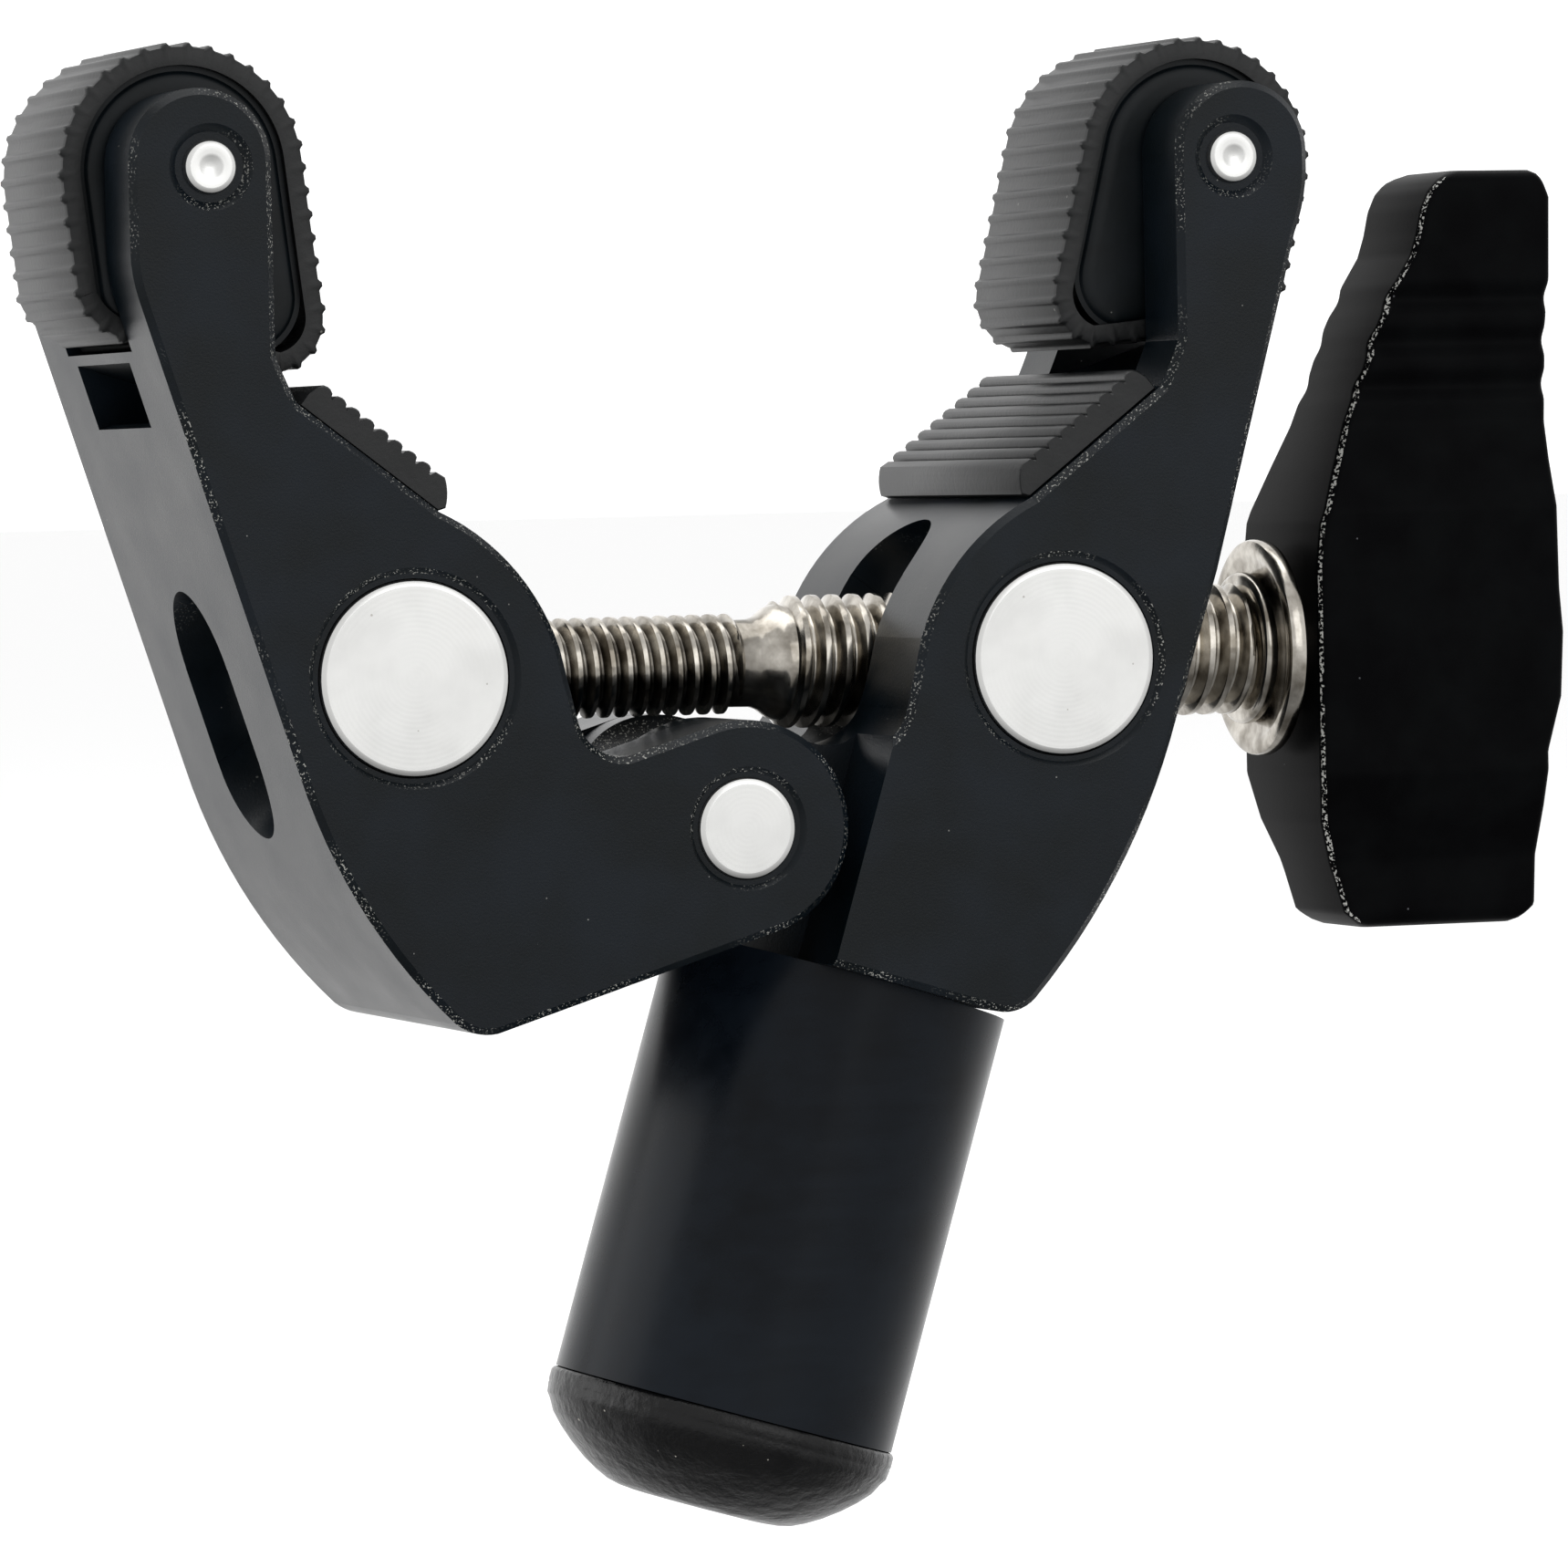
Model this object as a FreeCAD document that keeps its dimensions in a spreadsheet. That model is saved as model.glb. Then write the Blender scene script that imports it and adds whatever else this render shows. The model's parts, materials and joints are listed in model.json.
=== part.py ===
import FreeCAD, Part
import math
import os
import Sketcher

# Super clamp: two jaws on a hinge pin, closed by a turnbuckle screw with a wing knob.
# X runs along the screw at rest, Y across the jaws, Z up. The origin is the middle of
# the grip. Jaws are drawn about the hinge axis, with x pointing away from the grip.

os.makedirs("parts", exist_ok=True)
doc = FreeCAD.newDocument("super_clamp")

# ---------------------------------------------------------------- driving dimensions
SIZES = {
    "jaw_width": 24.6, "edge_break": 0.4,
    "hinge_drop": 30.0, "hinge_round": 6.1, "tongue_width": 11.8,
    "fork_gap": 12.1, "step_reach": 7.1, "pin_radius": 2.9, "base_tilt": 17.0,
    "nut_out": 19.3, "nut_up": 9.0, "nut_radius": 5.5, "nut_seat": 5.55,
    "wall_lean": 17.85, "left_wall_gap": 7.95, "right_wall_gap": 7.65,
    "left_wall_foot": 3.0, "right_wall_foot": 2.6, "left_wall_head": 24.8, "right_wall_head": 7.5,
    "toe_start": 17.4, "seat_out": 17.6, "seat_up": 18.2, "seat_slope": 37.5,
    "pivot_out": 30.3, "pivot_up": 37.4, "pivot_radius": 1.5, "lug_radius": 4.05,
    "lug_shift": 0.55, "lug_lift": 0.3, "lug_slot": 13.8, "window_width": 11.2, "window_tall": 3.8,
    "bridge_drop": 10.5, "bridge_slope": 18.0, "bridge_thick": 0.5,
    "slot_width": 8.6, "fan_width": 8.7, "slot_reach": 30.0, "slot_up": 4.0, "slot_down": 36.0,
    "pin_sink": 0.45, "nut_sink": 0.3,
    "fine_radius": 2.9, "coarse_radius": 3.85, "bore_gap": 0.1, "run_gap": 0.05,
    "tip_reach": 23.6, "neck_start": 3.3, "coarse_start": 6.3, "collar_start": 34.9,
    "flange_start": 35.75, "flange_thick": 1.05, "flange_radius": 6.35,
    "knob_start": 37.7, "knob_thick": 12.0, "knob_top_thick": 8.7, "knob_foot_thick": 8.2, "knob_top": 27.8, "knob_bottom": 16.5,
    "shoe_radius": 7.15, "shoe_width": 13.2, "shoe_tail": 12.0, "tread": 1.3,
    "left_shoe_turn": 6.7, "right_shoe_turn": 13.6,
    "seat_long": 9.9, "seat_wide": 23.4, "seat_proud": 1.85,
    "bar_radius": 10.0, "bar_bore": 8.5, "bar_shift": 11.8, "bar_long": 25.8,
    "lip_radius": 10.22, "lip_thick": 1.8, "cap_tall": 5.8, "cap_flat": 5.4,
    "cap_bend": 4.0, "cap_bend_radius": 8.6,
    "bolt_radius": 3.0, "bolt_head": 5.0, "bolt_reach": 8.0, "hex_radius": 2.5, "hex_deep": 3.0,
    "washer_radius": 6.2, "washer_thick": 1.2, "head_tall": 5.0, "plug_long": 8.0, "plug_in": 7.0,
}
sheet = doc.addObject("Spreadsheet::Sheet", "Dims")
for row, (alias, number) in enumerate(SIZES.items(), start=1):
    sheet.set(f"A{row}", alias)
    sheet.set(f"B{row}", str(number))
    sheet.setAlias(f"B{row}", alias)
doc.recompute()


class Size:
    """A number that also knows the sheet expression that gives it."""

    def __init__(self, number, text=None):
        self.number = float(number)
        self.text = text or repr(float(number))

    def __add__(self, other):
        other = size(other)
        return Size(self.number + other.number, f"({self.text} + {other.text})")

    def __sub__(self, other):
        other = size(other)
        return Size(self.number - other.number, f"({self.text} - {other.text})")

    def __mul__(self, other):
        other = size(other)
        return Size(self.number * other.number, f"({self.text} * {other.text})")

    def __truediv__(self, other):
        other = size(other)
        return Size(self.number / other.number, f"({self.text} / {other.text})")

    def __neg__(self):
        return Size(-self.number, f"(-{self.text})")

    __radd__ = __add__
    __rmul__ = __mul__


def size(value):
    return value if isinstance(value, Size) else Size(value)


def dim(alias):
    return Size(sheet.get(alias), f"Dims.{alias}")


def cosine(angle):
    return Size(math.cos(math.radians(angle.number)), f"cos({angle.text} * 1deg)")


def sine(angle):
    return Size(math.sin(math.radians(angle.number)), f"sin({angle.text} * 1deg)")


def tilted(corner, along, angle, across=0):
    """The point `along` a line at `angle` above the x axis, and `across` to its left."""
    along, across = size(along), size(across)
    return (corner[0] + along * cosine(angle) - across * sine(angle),
            corner[1] + along * sine(angle) + across * cosine(angle))


# ---------------------------------------------------------------- sketch helpers
def plane(body, role):
    return next(item for item in body.Origin.OriginFeatures if item.Role == role)


def new_body(label):
    body = doc.addObject("PartDesign::Body", label)
    body.Label = label
    return body


def new_sketch(body, name, role="XZ_Plane", offset=None):
    sketch = body.newObject("Sketcher::SketchObject", name)
    sketch.AttachmentSupport = [(plane(body, role), "")]
    sketch.MapMode = "FlatFace"
    if offset is not None:
        sketch.setExpression("AttachmentOffset.Base.z", offset.text)
    return sketch


def pin_point(sketch, geo, end, point):
    """Holds one end (1 start, 2 end, 3 centre) of a line or arc at its place."""
    for kind, part in (("DistanceX", size(point[0])), ("DistanceY", size(point[1]))):
        held = sketch.addConstraint(Sketcher.Constraint(kind, -1, 1, geo, end, part.number))
        sketch.setExpression(f"Constraints[{held}]", part.text)


def spot(point):
    return FreeCAD.Vector(size(point[0]).number, size(point[1]).number, 0)


def outline(sketch, start, *steps):
    """A closed outline: each step is a point for a line, or (through, point) for an arc."""
    here = start
    last = steps[-1][1] if isinstance(steps[-1][0], tuple) else steps[-1]
    if (spot(last) - spot(start)).Length > 1e-6:
        steps = steps + (start,)
    for step in steps:
        bend = isinstance(step[0], tuple)
        goal = step[1] if bend else step
        if bend:
            curve = Part.Arc(spot(here), spot(step[0]), spot(goal))
        else:
            curve = Part.LineSegment(spot(here), spot(goal))
        geo = sketch.addGeometry(curve)
        if bend:
            # An arc always runs anticlockwise, so its start may be either end. A pinned
            # point that lies on it fixes how far it bows.
            back = (sketch.getPoint(geo, 1) - spot(here)).Length > 1e-6
            pin_point(sketch, geo, 2 if back else 1, here)
            pin_point(sketch, geo, 1 if back else 2, goal)
            through = sketch.addGeometry(Part.Point(spot(step[0])), True)
            pin_point(sketch, through, 1, step[0])
            sketch.addConstraint(Sketcher.Constraint("PointOnObject", through, 1, geo))
        else:
            pin_point(sketch, geo, 1, here)
            pin_point(sketch, geo, 2, goal)
        here = goal


def circle(sketch, centre, radius):
    geo = sketch.addGeometry(Part.Circle(spot(centre), FreeCAD.Vector(0, 0, 1), radius.number))
    pin_point(sketch, geo, 3, centre)
    held = sketch.addConstraint(Sketcher.Constraint("Radius", geo, radius.number))
    sketch.setExpression(f"Constraints[{held}]", radius.text)


def feature(body, kind, name, sketch, **settings):
    """A Pad, Pocket, Revolution or Groove on a sketch, with settings bound to the sheet."""
    made = body.newObject(f"PartDesign::{kind}", name)
    made.Profile = sketch
    for key, value in settings.items():
        if isinstance(value, Size):
            setattr(made, key, value.number)
            made.setExpression(key, value.text)
        else:
            setattr(made, key, value)
    sketch.Visibility = False
    doc.recompute()
    return made


def slab(body, name, length, start, *steps, cut=False):
    """An outline on the XZ plane, made `length` thick and centred on it."""
    sketch = new_sketch(body, f"{name}_sketch")
    outline(sketch, start, *steps)
    kind = "Pocket" if cut else "Pad"
    return feature(body, kind, name, sketch, SideType="Symmetric", Length=length)


def rod(body, name, length, centre, radius, cut=False):
    sketch = new_sketch(body, f"{name}_sketch")
    circle(sketch, centre, radius)
    kind = "Pocket" if cut else "Pad"
    return feature(body, kind, name, sketch, SideType="Symmetric", Length=length)


def turned(body, name, start, *steps):
    """An outline turned about the sketch's x axis."""
    sketch = new_sketch(body, f"{name}_sketch")
    outline(sketch, start, *steps)
    return feature(body, "Revolution", name, sketch, ReferenceAxis=(sketch, ["H_Axis"]), Angle=360.0)


def drilled(body, name, start, length, angle, radius):
    """A round bore on the mid plane, from `start` along a line at `angle`."""
    sketch = new_sketch(body, f"{name}_sketch")
    end = tilted(start, length, angle)
    outline(sketch, start, end, tilted(end, 0, angle, radius), tilted(start, 0, angle, radius))
    axis = sketch.addGeometry(Part.LineSegment(spot(start), spot(end)), True)
    pin_point(sketch, axis, 1, start)
    pin_point(sketch, axis, 2, end)
    feature(body, "Groove", name, sketch, ReferenceAxis=(sketch, ["Axis0"]), Angle=360.0)


half_turn = FreeCAD.Rotation(FreeCAD.Vector(0, 0, 1), 180)


def tip(angle):
    """A turn about +Y, which tips the top of a body towards +X."""
    return FreeCAD.Rotation(FreeCAD.Vector(0, 1, 0), angle)


def place(body, point, turn=FreeCAD.Rotation()):
    """Turns a body about its origin and puts that at a point given from the hinge."""
    body.Placement = FreeCAD.Placement(FreeCAD.Vector(0, 0, 0), turn)
    body.setExpression("Placement.Base.x", size(point[0]).text)
    body.setExpression("Placement.Base.z", (point[1] - dim("hinge_drop")).text)


# ---------------------------------------------------------------- shared points
hinge = (size(0), size(0))
nut = (dim("nut_out"), dim("nut_up"))
pivot = (dim("pivot_out"), dim("pivot_up"))
base = -dim("base_tilt")
wall = 90 + -dim("wall_lean")
width = dim("jaw_width")
beyond = width + 2
clear = size(20)


def in_base(along, up):
    """A point measured along the sloping base of a jaw, from the hinge."""
    return tilted(hinge, along, base, up)


def on_wall(along, side_name):
    """A point on the straight outer wall, measured up it from beside the nut."""
    return tilted(nut, along, wall, -dim(f"{side_name}_wall_gap"))


seat_end = (dim("seat_out"), dim("seat_up"))
seat_corner = tilted(seat_end, dim("seat_long") + 0.25, dim("seat_slope"))


def mirrored(point):
    """The same place on the left jaw."""
    return (-point[0], point[1])


# ---------------------------------------------------------------- jaws
def outer_side(side_name):
    """The outline from the toe up the outer wall: the left jaw is a little fuller."""
    lug_out = pivot[0] + dim("lug_shift") + dim("lug_radius")
    foot = on_wall(-dim(f"{side_name}_wall_foot"), side_name)
    head = on_wall(dim(f"{side_name}_wall_head"), side_name)
    if side_name == "left":
        return (in_base(dim("toe_start"), -dim("hinge_round")),
                ((size(16.3), size(-10.83)), (size(17.3), size(-10.3))),
                ((size(22.72), size(-3.5)), foot),
                head,
                ((lug_out - 0.11, size(31.5)), (lug_out, size(32.9))))
    return (in_base(dim("toe_start"), -dim("hinge_round")),
            ((size(16.2), size(-10.87)), (size(17.2), size(-10.25))),
            ((size(22.05), size(-3.85)), foot),
            head,
            (size(34.1), size(33.0)),
            ((size(34.66), size(34.8)), (lug_out, size(36.6))))


def jaw_outline(side_name):
    """The side outline of a jaw, from the underside of the hinge round."""
    ear = dim("hinge_round")
    lug = (pivot[0] + dim("lug_shift"), pivot[1] + dim("lug_lift"))
    lug_out = lug[0] + dim("lug_radius")
    lug_in = lug[0] - dim("lug_radius")
    return (in_base(0, -ear),
            *outer_side(side_name),
            (lug_out, lug[1]),
            ((lug[0], lug[1] + dim("lug_radius")), (lug_in, lug[1])),
            (lug_in, seat_corner[1] + 2.6),
            (tilted(seat_corner, 0.75, wall, -0.1), seat_corner),
            seat_end,
            ((size(13.1), size(14.7)), (size(10.75), size(10.4))),
            (size(9.8), size(6.4)),
            ((size(8.7), size(4.75)), in_base(5.3, ear)),
            in_base(0, ear),
            (in_base(-ear, 0), in_base(0, -ear)))


def jaw_blank(body, side_name):
    """The jaw's full thickness, with a small bevel round its front and back faces."""
    bevel = dim("edge_break")
    shoulder = width / 2 - bevel
    slab(body, "blank", shoulder * 2, *jaw_outline(side_name))
    sketch = new_sketch(body, "bevel_sketch", offset=-shoulder)
    outline(sketch, *jaw_outline(side_name))
    back = feature(body, "Pad", "bevel", sketch, Length=bevel, Reversed=True, TaperAngle=-45.0)
    front = body.newObject("PartDesign::Mirrored", "front_bevel")
    front.Originals = [back]
    front.MirrorPlane = (plane(body, "XZ_Plane"), [""])
    body.Tip = front
    doc.recompute()


def screw_slot(body):
    """The slot that lets the screw swing about the nut: a fan between two bores."""
    reach = dim("slot_reach")
    high, low = dim("slot_up"), -dim("slot_down")
    for name, far in (("fan_out", reach), ("fan_in", -reach)):
        slab(body, name, dim("fan_width"), nut, tilted(nut, far, low), tilted(nut, far, high), cut=True)
    for name, lean in (("slot_high", high), ("slot_low", low)):
        drilled(body, name, tilted(nut, -reach, lean), reach * 2, lean, dim("slot_width") / 2)


def sink(body, name, centre, radius, depth):
    """A small countersink at both ends of a cross bore."""
    for end, side in (("front", 1), ("back", -1)):
        sketch = new_sketch(body, f"{name}_{end}_sketch", offset=(width / 2 - depth) * side)
        circle(sketch, centre, radius)
        feature(body, "Pocket", f"{name}_{end}", sketch, Length=depth, Reversed=side > 0, TaperAngle=45.0)


def fork_or_tongue(body, forked):
    """Leaves two plates or one tongue at the hinge, as far as the step."""
    far, step, foot = -clear, dim("step_reach"), -clear
    if forked:
        step = step + 0.3
        slab(body, "fork_gap", dim("fork_gap"),
             in_base(far, foot), in_base(step, foot), in_base(step, clear), in_base(far, clear), cut=True)
        return
    for name, side in (("front_cheek", 1), ("back_cheek", -1)):
        sketch = new_sketch(body, f"{name}_sketch", offset=dim("tongue_width") / 2 * side)
        outline(sketch, in_base(far, foot), in_base(step, foot), in_base(step, clear), in_base(far, clear))
        feature(body, "Pocket", name, sketch, Length=width, Reversed=side > 0)


def lug_openings(body):
    """The slot between the lugs, its thin bridge and the window under the bridge."""
    slope = dim("bridge_slope")
    bridge = tilted(pivot, -dim("bridge_drop"), 90 + slope)
    inner, outer = -9, 12
    slab(body, "lug_slot", dim("lug_slot"),
         tilted(bridge, inner, slope), tilted(bridge, outer, slope),
         tilted(bridge, outer, slope, clear), tilted(bridge, inner, slope, clear), cut=True)
    under = -dim("bridge_thick")
    floor = under - dim("window_tall")
    slab(body, "window", dim("window_width"),
         tilted(bridge, -3.2, slope, floor + 1.2), tilted(bridge, -1.6, slope, floor),
         tilted(bridge, outer, slope, floor), tilted(bridge, outer, slope, under),
         tilted(bridge, inner, slope, under), tilted(bridge, inner, slope, under - 0.6), cut=True)


def jaw(side_name, forked, turn):
    body = new_body(f"{side_name}_jaw")
    jaw_blank(body, side_name)
    fork_or_tongue(body, forked)
    lug_openings(body)
    screw_slot(body)
    play = size(0) if forked else dim("run_gap")
    pin = dim("pin_radius")
    for name, centre, radius in (("nut_bore", nut, dim("nut_seat")), ("hinge_bore", hinge, pin + play),
                                 ("pivot_bore", pivot, dim("pivot_radius"))):
        rod(body, name, beyond, centre, radius, cut=True)
    sink(body, "nut_sink", nut, dim("nut_seat") + dim("nut_sink"), dim("nut_sink"))
    sink(body, "pivot_sink", pivot, dim("pivot_radius") + dim("pin_sink"), dim("pin_sink"))
    if forked:
        sink(body, "hinge_sink", hinge, pin + dim("nut_sink"), dim("nut_sink"))
    place(body, hinge, turn)
    return body


jaw("left", True, half_turn)
right_jaw = jaw("right", False, FreeCAD.Rotation())
# A hole in the base takes the bolt that holds the bar.
drilled(right_jaw, "bolt_hole", in_base(dim("bar_shift"), -12), 14, 90 + base, dim("bolt_radius") + dim("run_gap"))


# ---------------------------------------------------------------- pins and nuts
def cross_pin(label, radius, at):
    body = new_body(label)
    rod(body, "pin", width, hinge, radius)
    place(body, at)
    return body


def barrel_nut(label, screw_radius, at):
    body = cross_pin(label, dim("nut_radius"), at)
    sketch = new_sketch(body, "thread_sketch", "YZ_Plane")
    circle(sketch, hinge, screw_radius + dim("bore_gap"))
    feature(body, "Pocket", "thread_bore", sketch, SideType="Symmetric", Length=beyond)


cross_pin("hinge_pin", dim("pin_radius"), hinge)
cross_pin("left_pad_pin", dim("pivot_radius"), mirrored(pivot))
cross_pin("right_pad_pin", dim("pivot_radius"), pivot)
barrel_nut("left_barrel_nut", dim("fine_radius"), mirrored(nut))
barrel_nut("right_barrel_nut", dim("coarse_radius"), nut)


# ---------------------------------------------------------------- screw, flange and knob
fine, coarse = dim("fine_radius"), dim("coarse_radius")
knob_front = dim("knob_start")
knob_grip = size(10)
screw_axis = (hinge[0], nut[1])
screw = new_body("clamp_screw")
turned(screw, "shaft",
       (-dim("tip_reach"), size(0)),
       (-dim("tip_reach"), fine - 0.6),
       (0.6 + -dim("tip_reach"), fine),
       (dim("neck_start"), fine),
       (dim("coarse_start") - 1.2, coarse - 0.25),
       (dim("coarse_start"), coarse),
       (dim("collar_start"), coarse),
       (dim("collar_start"), coarse + 0.6),
       (dim("flange_start"), coarse + 0.6),
       (dim("flange_start"), coarse),
       (knob_front + knob_grip, coarse),
       (knob_front + knob_grip, size(0)))
place(screw, screw_axis)

flange = new_body("thrust_washer")
turned(flange, "disc",
       (dim("flange_start"), coarse + dim("run_gap")),
       (dim("flange_start"), dim("flange_radius")),
       (dim("flange_start") + dim("flange_thick"), dim("flange_radius")),
       (dim("flange_start") + dim("flange_thick"), coarse + dim("run_gap")))
place(flange, screw_axis)

knob = new_body("wing_knob")
top, bottom = dim("knob_top"), -dim("knob_bottom")
slab(knob, "wings", dim("knob_thick"),
     (size(0), size(-8.2)),
     (size(1.9), bottom + 0.8),
     ((size(2.5), bottom + 0.2), (size(3.8), bottom)),
     (size(12.2), bottom),
     ((size(13.9), bottom + 0.6), (size(14.4), bottom + 2)),
     ((size(15.8), size(-3.0)), (size(15.4), size(6))),
     (size(15.6), size(14)),
     (size(16.1), top - 2),
     ((size(15.7), top - 0.6), (size(14.4), top)),
     (size(8.9), top),
     ((size(7.9), top - 0.8), (size(7.7), top - 3.4)),
     ((size(6.9), top - 5.8), (size(5.5), size(19.8))),
     (size(1.5), size(10.4)),
     ((size(0.35), size(7.6)), (size(0), size(4.6))))
half_thick = dim("knob_thick") / 2
for name, side in (("front", -1), ("back", 1)):
    for end, begin, finish, limit, thick in (
            ("top", size(8), size(13), top + 1, dim("knob_top_thick")),
            ("foot", size(-7.5), size(-12.6), bottom - 1, dim("knob_foot_thick"))):
        taper = new_sketch(knob, f"{name}_{end}_taper_sketch", "YZ_Plane")
        outline(taper, (half_thick * side, begin), (thick / 2 * side, finish), (thick / 2 * side, limit),
                ((half_thick + 1) * side, limit), ((half_thick + 1) * side, begin))
        feature(knob, "Pocket", f"{name}_{end}_taper", taper, SideType="Symmetric", Length=size(60))
socket = new_sketch(knob, "socket_sketch", "YZ_Plane")
circle(socket, hinge, coarse + dim("run_gap"))
feature(knob, "Pocket", "socket", socket, Length=knob_grip, Reversed=True)
place(knob, (knob_front, nut[1]))


# ---------------------------------------------------------------- swivel pads
def shoe_outline(shrink):
    """A tombstone about the pivot, with x towards the grip: round top and slanting foot."""
    half = dim("shoe_radius") - shrink
    tail = -(dim("shoe_tail") - shrink)
    return ((half, size(0)),
            ((size(0), half), (-half, size(0))),
            (-half, size(-6.2)),
            ((-half + 1.0, size(-8.0)), (-half + 3.2, size(-9.3) + shrink)),
            (half - 3.2, tail),
            ((half - 0.9, tail + 1.0), (half, tail + 3.4)))


def swivel_pad(side_name, at, turn):
    """The stiff core that turns on the pivot pin, and the rubber tread round it."""
    core = new_body(f"{side_name}_swivel_core")
    slab(core, "core", dim("shoe_width") - 0.4, *shoe_outline(dim("tread")))
    rod(core, "pivot_bore", beyond, hinge, dim("pivot_radius") + dim("run_gap"), cut=True)
    grip = new_body(f"{side_name}_swivel_grip")
    slab(grip, "tread", dim("shoe_width"), *shoe_outline(size(0)))
    slab(grip, "core_space", beyond, *shoe_outline(dim("tread")), cut=True)
    place(core, at, turn)
    place(grip, at, turn)


swivel_pad("left", mirrored(pivot), tip(-dim("left_shoe_turn").number))
swivel_pad("right", pivot, tip(dim("right_shoe_turn").number).multiply(half_turn))


# ---------------------------------------------------------------- grip pads on the seats
def grip_pad(label, turn):
    """The ribbed rubber pad on the sloping seat."""
    body = new_body(label)
    slope = dim("seat_slope")
    proud, long = dim("seat_proud"), dim("seat_long")
    slab(body, "pad", dim("seat_wide"),
         seat_end,
         tilted(seat_end, long, slope),
         tilted(seat_end, long, slope, 0.5),
         (tilted(seat_end, long - 0.4, slope, 1.2), tilted(seat_end, long - 1.3, slope, proud)),
         tilted(seat_end, 1.4, slope, proud),
         (tilted(seat_end, 0.2, slope, 1.25), tilted(seat_end, -0.3, slope, 0.5)))
    place(body, hinge, turn)


grip_pad("left_grip_pad", half_turn)
grip_pad("right_grip_pad", FreeCAD.Rotation())


# ---------------------------------------------------------------- mounting bar
bar_start = in_base(dim("bar_shift"), -dim("hinge_round"))
bar_turn = tip(90 + dim("base_tilt").number)


def on_bar(label, *outline_points):
    """A part turned about the bar's axis; its sketch x runs down the bar from the jaw."""
    body = new_body(label)
    turned(body, "turning", *outline_points)
    place(body, bar_start, bar_turn)


none = size(0)
outer, inner, long = dim("bar_radius"), dim("bar_bore"), dim("bar_long")
plug, bolt, washer = dim("plug_long"), dim("bolt_radius"), dim("washer_radius")
head = plug + dim("washer_thick")
head_end = head + dim("head_tall")
tip_chamfer = size(0.5)
on_bar("bar_tube", (none, inner), (none, outer), (long, outer), (long, inner))
on_bar("bar_plug", (none, bolt), (none, inner), (plug, inner), (plug, bolt))
on_bar("bolt_washer", (plug, bolt), (plug, washer), (head, washer), (head, bolt))
on_bar("bar_bolt",
       (-dim("bolt_reach"), none), (-dim("bolt_reach"), bolt - tip_chamfer), (tip_chamfer - dim("bolt_reach"), bolt),
       (head, bolt), (head, dim("bolt_head")), (head_end, dim("bolt_head")),
       (head_end, dim("hex_radius")), (head_end - dim("hex_deep"), dim("hex_radius")), (head_end - dim("hex_deep"), none))
lip, lip_end = dim("lip_radius"), long + dim("lip_thick")
cap_end, flat = long + dim("cap_tall"), dim("cap_flat")
edge = size(0.3)
on_bar("bar_end_cap",
       (long - dim("plug_in"), none), (long - dim("plug_in"), inner), (long, inner), (long, lip - edge),
       (long + edge, lip), (lip_end - edge, lip), (lip_end, lip - edge),
       (long + dim("cap_bend"), dim("cap_bend_radius")),
       (cap_end - edge * 2, flat + edge), (cap_end, flat - edge), (cap_end, none))

# ---------------------------------------------------------------- check and write
doc.recompute()
bad = [item.Name for item in doc.Objects if {"Invalid", "Error"} & set(item.State)]
if bad:
    raise RuntimeError(f"these objects failed: {bad}")
bodies = [item for item in doc.Objects if item.TypeId == "PartDesign::Body"]
for body in bodies:
    shape = body.Shape
    if shape.isNull() or not shape.isValid() or not shape.Solids:
        raise RuntimeError(f"{body.Label} has no sound shape")
    print(f"{body.Label:20s} solids {len(shape.Solids)} volume {shape.Volume:9.1f}")
for body in bodies:
    body.Shape.exportStep(os.path.join("parts", f"{body.Label}.step"))
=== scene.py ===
import bpy, bmesh, json, math
from mathutils import Matrix, Vector


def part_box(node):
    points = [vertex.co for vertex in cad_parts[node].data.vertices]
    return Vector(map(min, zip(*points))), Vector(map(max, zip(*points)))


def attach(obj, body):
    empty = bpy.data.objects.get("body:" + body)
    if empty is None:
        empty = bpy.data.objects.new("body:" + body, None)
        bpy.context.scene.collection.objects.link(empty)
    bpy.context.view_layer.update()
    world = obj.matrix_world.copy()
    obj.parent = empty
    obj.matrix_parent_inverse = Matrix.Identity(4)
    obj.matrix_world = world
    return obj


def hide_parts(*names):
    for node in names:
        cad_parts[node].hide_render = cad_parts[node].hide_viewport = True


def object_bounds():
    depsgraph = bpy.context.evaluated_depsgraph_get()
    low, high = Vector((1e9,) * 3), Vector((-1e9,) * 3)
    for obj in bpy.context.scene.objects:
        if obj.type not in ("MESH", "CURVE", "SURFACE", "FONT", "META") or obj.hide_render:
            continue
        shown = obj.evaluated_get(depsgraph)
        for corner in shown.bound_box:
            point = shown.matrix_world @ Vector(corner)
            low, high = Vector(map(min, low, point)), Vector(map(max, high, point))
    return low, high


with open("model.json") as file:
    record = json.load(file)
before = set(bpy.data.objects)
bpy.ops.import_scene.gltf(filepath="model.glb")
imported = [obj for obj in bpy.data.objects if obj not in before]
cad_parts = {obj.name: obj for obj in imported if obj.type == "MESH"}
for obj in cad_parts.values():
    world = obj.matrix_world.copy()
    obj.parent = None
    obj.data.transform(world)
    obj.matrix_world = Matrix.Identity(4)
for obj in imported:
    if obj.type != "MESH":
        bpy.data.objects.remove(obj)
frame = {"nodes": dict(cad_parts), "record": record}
cadLow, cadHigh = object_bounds()
mm = 0.001  # every size below is in millimetres unless it says otherwise


# small helpers

def hexColour(text):
    # sRGB hex to the linear colour that shaders use
    parts = [int(text[i:i + 2], 16) / 255 for i in (1, 3, 5)]
    return [p / 12.92 if p <= 0.04045 else ((p + 0.055) / 1.055) ** 2.4 for p in parts] + [1.0]


def perSize(size):
    # texture scale that gives features of this many millimetres
    return 1 / (size * mm)


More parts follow.
